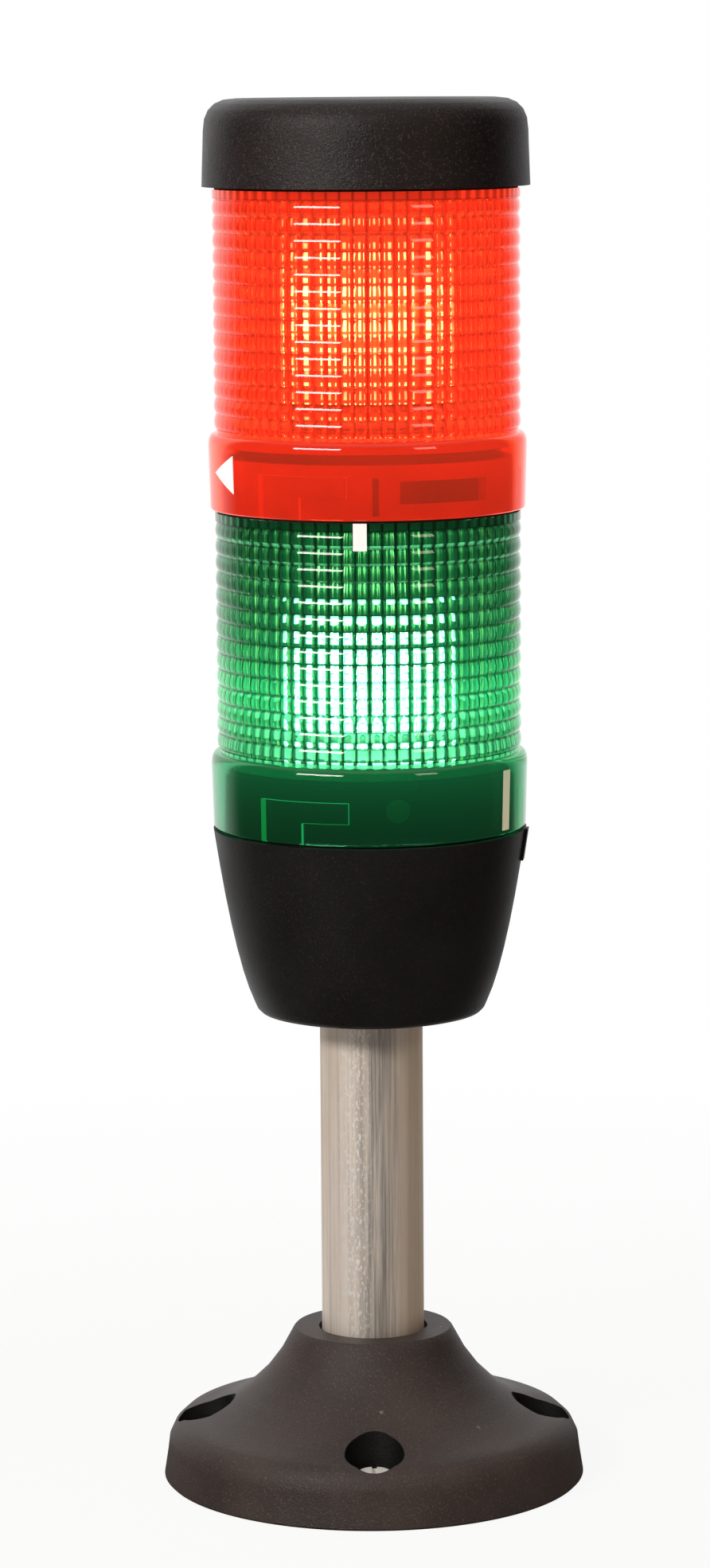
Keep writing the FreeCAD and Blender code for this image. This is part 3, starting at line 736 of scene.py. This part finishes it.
class STACKLIGHT_OT_stage(bpy.types.Operator):
    """Make the floor, the lights and the camera"""
    bl_idname = "stacklight.stage"
    bl_label = "Stage"

    def execute(self, context):
        settings = context.scene.stack_light_stage
        self.make_floor(context.scene, settings)
        self.make_world(context.scene, settings)
        self.make_lights(context.scene, settings)
        self.make_camera(context.scene, settings)
        context.scene.view_settings.view_transform = "Standard"
        return {"FINISHED"}

    def make_floor(self, scene, settings):
        """A sweep: flat, then a quarter turn, then upright."""
        front = -3.0
        back = 2.0
        half_width = 4.0
        bend = 0.6
        top = 3.0
        turn = np.linspace(0, math.pi / 2, 24)
        depth = np.concatenate([[front], back + bend * np.sin(turn), [back + bend]])
        height = np.concatenate([[0.0], bend - bend * np.cos(turn), [top]])
        across = np.array([-half_width, half_width])
        points = np.stack(np.broadcast_arrays(across[None], depth[:, None], height[:, None]), axis=-1)
        mesh = grid_mesh("floor", points, closed_rows=False, closed_columns=False)
        mesh.shade_smooth()
        mesh.materials.append(self.pale_floor(tuple(settings.front)))
        floor = bpy.data.objects.new("floor", mesh)
        scene.collection.objects.link(floor)

    def pale_floor(self, front):
        """Matt and pale, and seen white by the camera, in mirrors and through glass,
        a little less near the tower.  Mirrors see it lit like the room behind it."""
        made, tree, shader = material("Pale floor", Base_Color=(0.93, 0.915, 0.89), Roughness=0.9)
        place = object_place(tree)
        rays = added(tree, "LightPath").outputs
        no_mirror = calculation(tree, "SUBTRACT", 1.0, rays["Is Glossy Ray"])
        lit = calculation(tree, "MAXIMUM", room_light(tree, place), no_mirror)
        white = added(tree, "Emission", Color=blended(tree, lit, front, (1.0, 1.0, 1.0)), Strength=1.0)
        seen = calculation(tree, "MAXIMUM", rays["Is Camera Ray"], rays["Is Glossy Ray"])
        seen = calculation(tree, "MAXIMUM", seen, rays["Is Transmission Ray"])
        near = spread(tree, vector_step(tree, "LENGTH", "Value", place), 0.12, 0.5, 0.9, 1.0)
        mix = added(tree, "MixShader")
        put(tree, mix, 0, product(tree, seen, near))
        put(tree, mix, 1, shader.outputs[0])
        put(tree, mix, 2, white.outputs[0])
        put(tree, tree.nodes["Material Output"], "Surface", mix.outputs[0])
        return made

    def make_world(self, scene, settings):
        """Even pale light from above, behind and the left, and a dark room in front."""
        world = bpy.data.worlds.new("Studio")
        world.use_nodes = True
        scene.world = world
        tree = world.node_tree
        direction = added(tree, "TexCoord").outputs["Generated"]
        above = spread(tree, components(tree, direction)["Z"], 0.6, 0.95, 0.0, 0.9)
        share = calculation(tree, "MAXIMUM", room_light(tree, direction), above)
        ground = tree.nodes["Background"]
        put_all(tree, ground, Color=blended(tree, share, tuple(settings.front), (1.0, 0.98, 0.95)),
                Strength=0.9)

    def make_lights(self, scene, settings):
        """Two soft boxes in front, aimed at the tower's middle: name, power, place,
        width, height and tint."""
        boxes = (
            ("key", settings.key, (-0.75, -0.95, 0.75), 0.8, 0.2, (1.0, 0.95, 0.9)),
            ("fill", settings.fill, (0.8, -0.85, 0.75), 0.35, 0.28, (1.0, 0.84, 0.68)),
        )
        middle = Vector((0, 0, 0.2))
        for name, power, place, width, height, tint in boxes:
            data = bpy.data.lights.new(name, "AREA")
            data.shape = "RECTANGLE"
            data.size = width
            data.size_y = height
            data.energy = power
            data.color = tint
            lamp = bpy.data.objects.new(name, data)
            lamp.location = place
            lamp.rotation_euler = (middle - Vector(place)).to_track_quat("-Z", "Y").to_euler()
            scene.collection.objects.link(lamp)

    def make_camera(self, scene, settings):
        """A camera in front, tilted down and rolled a little."""
        data = bpy.data.cameras.new("camera")
        data.sensor_width = 36.0
        data.lens = settings.focal
        camera = bpy.data.objects.new("camera", data)
        place = (-settings.camera_side, -settings.camera_distance, settings.camera_height)
        tilt = Matrix.Rotation(math.pi / 2 - settings.camera_tilt, 4, "X")
        roll = Matrix.Rotation(settings.camera_roll, 4, "Z")
        camera.matrix_world = Matrix.Translation(place) @ tilt @ roll
        scene.collection.objects.link(camera)
        scene.camera = camera


# Pieces

class STACKLIGHT_OT_housings(bpy.types.Operator):
    """Finish the foot, the bowl and the cap"""
    bl_idname = "stacklight.housings"
    bl_label = "Housings"

    def execute(self, context):
        finish = context.scene.stack_light_finish
        foot = black_plastic("Foot plastic", tuple(finish.foot_black), wear=0.25, roughness=0.46,
                             sparkle=0.3, depth=1.5)
        bowl = black_plastic("Bowl plastic", tuple(finish.bowl_black), wear=0.0, roughness=0.44,
                             sparkle=0.06, depth=0.7)
        cap = black_plastic("Cap plastic", tuple(finish.cap_black), wear=0.15, roughness=0.36,
                            sparkle=0.25, depth=1.5)
        self.shade_and_chip_foot(foot, context.scene.stack_light_mark)
        dress(["foot"], foot)
        dress(["terminal_bowl"], bowl)
        dress(["cap"], cap)
        return {"FINISHED"}

    def shade_and_chip_foot(self, made, size):
        """Paint shade into the wells, at a distance hypot(max - circle, min) of |x| and |y| from
        their axes, and chip the rim of the mouth round the tube."""
        tree = made.node_tree
        shader = tree.nodes["Principled BSDF"]
        tone = shader.inputs["Base Color"].links[0].from_socket
        place = components(tree)
        x = calculation(tree, "ABSOLUTE", place["X"])
        y = calculation(tree, "ABSOLUTE", place["Y"])
        along = calculation(tree, "SUBTRACT", calculation(tree, "MAXIMUM", x, y), size.screw_circle)
        away = distance(tree, along, calculation(tree, "MINIMUM", x, y))
        # Painted shade: the wells go near black inside
        well = spread(tree, away, size.well_radius, size.well_radius - 0.15 * MM)
        tone = blended(tree, well, tone, WELL_SHADE)
        mouth = near_value(tree, distance(tree, x, y), size.mouth_radius, full=1.0 * MM, end=3.5 * MM)
        rim = product(tree, mouth,
                          spread(tree, place["Z"], size.mouth_level - 1.0 * MM, size.mouth_level))
        chips = spread(tree, noise(tree, scale=300.0, detail=4.0, roughness=0.65), 0.48, 0.58)
        tone = blended(tree, product(tree, rim, chips), tone, CHIP)
        put(tree, shader, "Base Color", tone)


class STACKLIGHT_OT_tube(bpy.types.Operator):
    """Finish the aluminium tube"""
    bl_idname = "stacklight.tube"
    bl_label = "Tube"

    def execute(self, context):
        dress(["tube"], bare_aluminium(tuple(context.scene.stack_light_finish.aluminium)))
        return {"FINISHED"}


class STACKLIGHT_OT_lenses(bpy.types.Operator):
    """Make the two ribbed lenses"""
    bl_idname = "stacklight.lenses"
    bl_label = "Lenses"

    def execute(self, context):
        size = context.scene.stack_light_lens
        finish = context.scene.stack_light_finish
        for name in COLOURS:
            low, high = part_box(f"{name}_lens")
            lamp_low, lamp_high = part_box(f"{name}_lamp_body")
            first, pitch = rib_rows(size, high.z - low.z)
            scatter = tuple(getattr(finish, f"{name}_scatter"))
            light = {"Level": (lamp_low.z + lamp_high.z) / 2, "Reach": SCATTER_REACH[name],
                     "Floor": SCATTER_FLOOR[name]}
            lines = {"Flutes": float(size.flute_count), "First": low.z + first, "Pitch": pitch}
            label = name.capitalize()
            clear = tinted_plastic(f"{label} clear plastic", tuple(getattr(finish, name)), scatter, light,
                                   lines, SHADE_LINE_DEPTH[name])
            edge = plain_moulding(f"{label} lit edges", BLACK, 0.4, scaled(scatter, EDGE_LIGHT))
            points = lens_points(size, high.z - low.z, low.z)
            mesh = grid_mesh(f"{name}_ribbed_lens", points, closed_rows=True, closed_columns=True)
            piece = finish_piece(mesh, clear, f"{name}_module", sharp=24.0)
            self.light_grooves(mesh, size, low.z, edge)
            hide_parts(f"{name}_lens")
        return {"FINISHED"}

    def light_grooves(self, mesh, size, base, edge):
        """Give the grooves' steps the edge finish: light that runs down inside the
        plastic comes out at them.  A step's faces lie midway between bore and floor."""
        mesh.materials.append(edge)
        middle = (size.bore_radius + size.groove_radius) / 2
        top = base + size.groove_high + 0.1 * MM
        for face in mesh.polygons:
            off = abs(math.hypot(face.center.x, face.center.y) - middle)
            if off < 0.3 * MM and face.center.z < top:
                face.material_index = 1


class STACKLIGHT_OT_inner_parts(bpy.types.Operator):
    """Finish the plates, seals, contacts and lamps"""
    bl_idname = "stacklight.inner_parts"
    bl_label = "Inner parts"

    def execute(self, context):
        finish = context.scene.stack_light_finish
        natural = plain_moulding("Natural plastic", tuple(finish.natural))
        black = plain_moulding("Black inner plastic", (0.004, 0.004, 0.004), 0.6)
        grey = plain_moulding("Terminal plastic", (0.3, 0.31, 0.31))
        rubber = plain_moulding("Seal rubber", (0.012, 0.012, 0.012), 0.7)
        zinc = plated_metal("Zinc plate", tuple(finish.zinc))
        brass = plated_metal("Tinned brass", (0.7, 0.55, 0.3), 0.35)
        nickel = plated_metal("Nickel plate", (0.72, 0.7, 0.66), 0.22)
        dress(["base_plate"], black)
        dress(["terminal_block"], grey)
        dress(["base_seal", "green_seal", "red_seal"], rubber)
        dress(["tube_lock_screw", "base_plate_screws", "terminal_screws"], zinc)
        dress(["base_contact_strips"], brass)
        for name in COLOURS:
            dress([f"{name}_carrier", f"{name}_holder_insulator", f"{name}_top_plate"], natural)
            dress([f"{name}_lamp_holder", f"{name}_lamp_cap"], nickel)
            dress([f"{name}_holder_contacts", f"{name}_contact_strips"], brass)
            self.light_lamp(name, finish)
        return {"FINISHED"}

    def light_lamp(self, name, finish):
        """Light a lamp's column and its light points, most at their middle."""
        label = name.capitalize()
        low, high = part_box(f"{name}_leds")
        middle = (low.z + high.z) / 2
        body = glowing_body(f"{label} lamp body", BODY_LIGHT[name], getattr(finish, f"{name}_glow"),
                            middle, BODY_REACH * POINT_REACH[name])
        points = light_points(f"{label} lamp points", getattr(finish, f"{name}_points"),
                              low.z + LED_WIDTH / 2, middle, POINT_REACH[name])
        dress([f"{name}_lamp_body"], body)
        dress([f"{name}_leds"], points)


def screw_points(size):
    """A pan head: rings that run up the side, over a round edge and across the crown to
    the middle.  The slot sinks the crown's points within half its width of a diameter."""
    edge = 0.9 * MM
    slot_width = 1.2 * MM
    slot_depth = 1.1 * MM
    pole = 0.001 * MM
    t = np.linspace(0, math.pi / 2, 7)
    crown = np.linspace(size.screw_radius - edge, pole, 14)[1:]
    radius = np.concatenate([[pole, size.screw_radius], size.screw_radius - edge + edge * np.cos(t), crown])
    level = np.concatenate([[0.0, 0.0], size.screw_head - edge + edge * np.sin(t),
                            np.full(len(crown), size.screw_head)])
    azimuth = np.linspace(-math.pi, math.pi, 96, endpoint=False)
    points = cylinder_points(radius[:, None], azimuth[None], size.screw_seat + level[:, None])
    on_crown = level[:, None] > size.screw_head - 0.5 * MM
    in_slot = (np.abs(points[..., 0]) < slot_width / 2) & on_crown
    points[..., 2] -= np.where(in_slot, slot_depth, 0.0)
    return points


class STACKLIGHT_OT_fixing_screws(bpy.types.Operator):
    """Put the zinc heads in the foot's wells"""
    bl_idname = "stacklight.fixing_screws"
    bl_label = "Fixing screws"

    def execute(self, context):
        size = context.scene.stack_light_mark
        finish = plain_moulding("Bright zinc", (0.95, 0.94, 0.9), 0.3)
        for number in range(4):
            azimuth = number * math.pi / 2
            points = screw_points(size)
            points[..., 0] += size.screw_circle * math.sin(azimuth)
            points[..., 1] -= size.screw_circle * math.cos(azimuth)
            mesh = grid_mesh(f"fixing_screw_{number + 1}", points, closed_rows=False, closed_columns=True)
            finish_piece(mesh, finish, "base", sharp=35.0)
        return {"FINISHED"}


def collar_radius(lens, height):
    """The drafted collar's radius at a height above its lower edge."""
    rise = height / lens.collar_height
    return lens.collar_bottom_radius + (lens.collar_radius - lens.collar_bottom_radius) * rise


def print_mark(name, radius, azimuth, height, finish, body):
    """A thin shell just over a patch of a cylinder, closed all round: a mark's outer
    face, the way back under it, and an end at each side."""
    outer = cylinder_points(radius + PRINT_GAP + PRINT_THICKNESS, azimuth, height)
    inner = cylinder_points(radius + PRINT_GAP, azimuth, height)
    loop = np.concatenate([outer, inner[:, ::-1]], axis=1)
    ends = [np.broadcast_to(line.mean(axis=1, keepdims=True), line.shape) for line in (loop[:1], loop[-1:])]
    mesh = grid_mesh(name, np.concatenate([ends[0], loop, ends[1]]), closed_rows=False, closed_columns=True)
    finish_piece(mesh, finish, body, sharp=40.0)


class STACKLIGHT_OT_marks(bpy.types.Operator):
    """Print the triangle, the stripe and the collar's line, and add the ring's boss"""
    bl_idname = "stacklight.marks"
    bl_label = "Marks"

    def execute(self, context):
        size = context.scene.stack_light_mark
        lens = context.scene.stack_light_lens
        # Both prints get painted light: an emission that makes them brighter than the lamps make them
        white = plain_moulding("White print", tuple(context.scene.stack_light_finish.print_white), 0.5,
                               (0.36, 0.335, 0.325))
        cream = plain_moulding("Cream print", (0.62, 0.6, 0.42), 0.5, (0.18, 0.18, 0.12))
        across = np.linspace(-0.5, 0.5, 9)[:, None]
        up = np.linspace(-0.5, 0.5, 7)[None]

        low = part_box("red_lens")[0].z
        azimuth = size.triangle_azimuth + across * size.triangle_width / lens.collar_radius
        taper = np.maximum(across + 0.5, 0.01)
        height = low + size.triangle_level + up * taper * size.triangle_height
        print_mark("index_triangle", collar_radius(lens, height - low), azimuth, height, white,
                   "red_module")

        low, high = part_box("green_lens")
        azimuth = size.stripe_azimuth + across * size.stripe_width / lens.crest_radius
        height = high.z - size.stripe_height * (up + 0.5)
        print_mark("index_stripe", lens.crest_radius, azimuth, height, white,
                   "green_module")

        azimuth = size.line_azimuth + across * size.line_width / lens.collar_radius
        height = low.z + (size.line_low + size.line_high) / 2 + up * (size.line_high - size.line_low)
        print_mark("collar_line", collar_radius(lens, height - low.z), azimuth, height, cream,
                   "green_module")
        self.add_boss(size, low.z)
        return {"FINISHED"}

    def add_boss(self, size, low):
        """A low dome on the base plate's ring: a rise of dome (1 - s^2) at share s of its
        radius, bent round the ring, with its edge sunk into the ring."""
        dome = 0.25 * MM
        sunk = 0.4 * MM
        share = np.concatenate([[1e-4], np.linspace(0.1, 1.0, 10), [1.0]])[:, None]
        turn = np.linspace(-math.pi, math.pi, 40, endpoint=False)[None]
        azimuth = size.boss_azimuth + share * np.sin(turn) * size.boss_radius / size.ring_radius
        height = low + size.boss_level + share * np.cos(turn) * size.boss_radius
        rise = dome * (1 - share ** 2)
        rise[-1] = -sunk
        points = cylinder_points(size.ring_radius + rise, azimuth, height)
        mesh = grid_mesh("ring_boss", points, closed_rows=False, closed_columns=True)
        finish_piece(mesh, plated_metal("Boss", (0.8, 0.8, 0.75)), "base", sharp=40.0)


class STACKLIGHT_PT_panel(bpy.types.Panel):
    """Lists the operators and their sizes"""
    bl_idname = "STACKLIGHT_PT_panel"
    bl_label = "Stack light"
    bl_space_type = "VIEW_3D"
    bl_region_type = "UI"
    bl_category = "Stack light"

    def draw(self, context):
        for operator in OPERATORS:
            self.layout.operator(operator.bl_idname)
        for name in SETTINGS:
            group = getattr(context.scene, name)
            for field in group.bl_rna.properties:
                if field.identifier not in ("rna_type", "name"):
                    self.layout.prop(group, field.identifier)


SETTINGS = {
    "stack_light_lens": StackLightLensSettings,
    "stack_light_finish": StackLightFinishSettings,
    "stack_light_mark": StackLightMarkSettings,
    "stack_light_stage": StackLightStageSettings,
}
OPERATORS = (
    STACKLIGHT_OT_stage,
    STACKLIGHT_OT_housings,
    STACKLIGHT_OT_tube,
    STACKLIGHT_OT_lenses,
    STACKLIGHT_OT_inner_parts,
    STACKLIGHT_OT_fixing_screws,
    STACKLIGHT_OT_marks,
)


def register():
    for group in (*SETTINGS.values(), *OPERATORS, STACKLIGHT_PT_panel):
        bpy.utils.register_class(group)
    for name, group in SETTINGS.items():
        setattr(bpy.types.Scene, name, PointerProperty(type=group))


def unregister():
    for name in SETTINGS:
        delattr(bpy.types.Scene, name)
    for group in reversed((*SETTINGS.values(), *OPERATORS, STACKLIGHT_PT_panel)):
        bpy.utils.unregister_class(group)


def main():
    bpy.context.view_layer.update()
    register()
    bpy.ops.stacklight.stage()
    bpy.ops.stacklight.housings()
    bpy.ops.stacklight.tube()
    bpy.ops.stacklight.lenses()
    bpy.ops.stacklight.inner_parts()
    bpy.ops.stacklight.fixing_screws()
    bpy.ops.stacklight.marks()


if __name__ == "__main__":
    main()
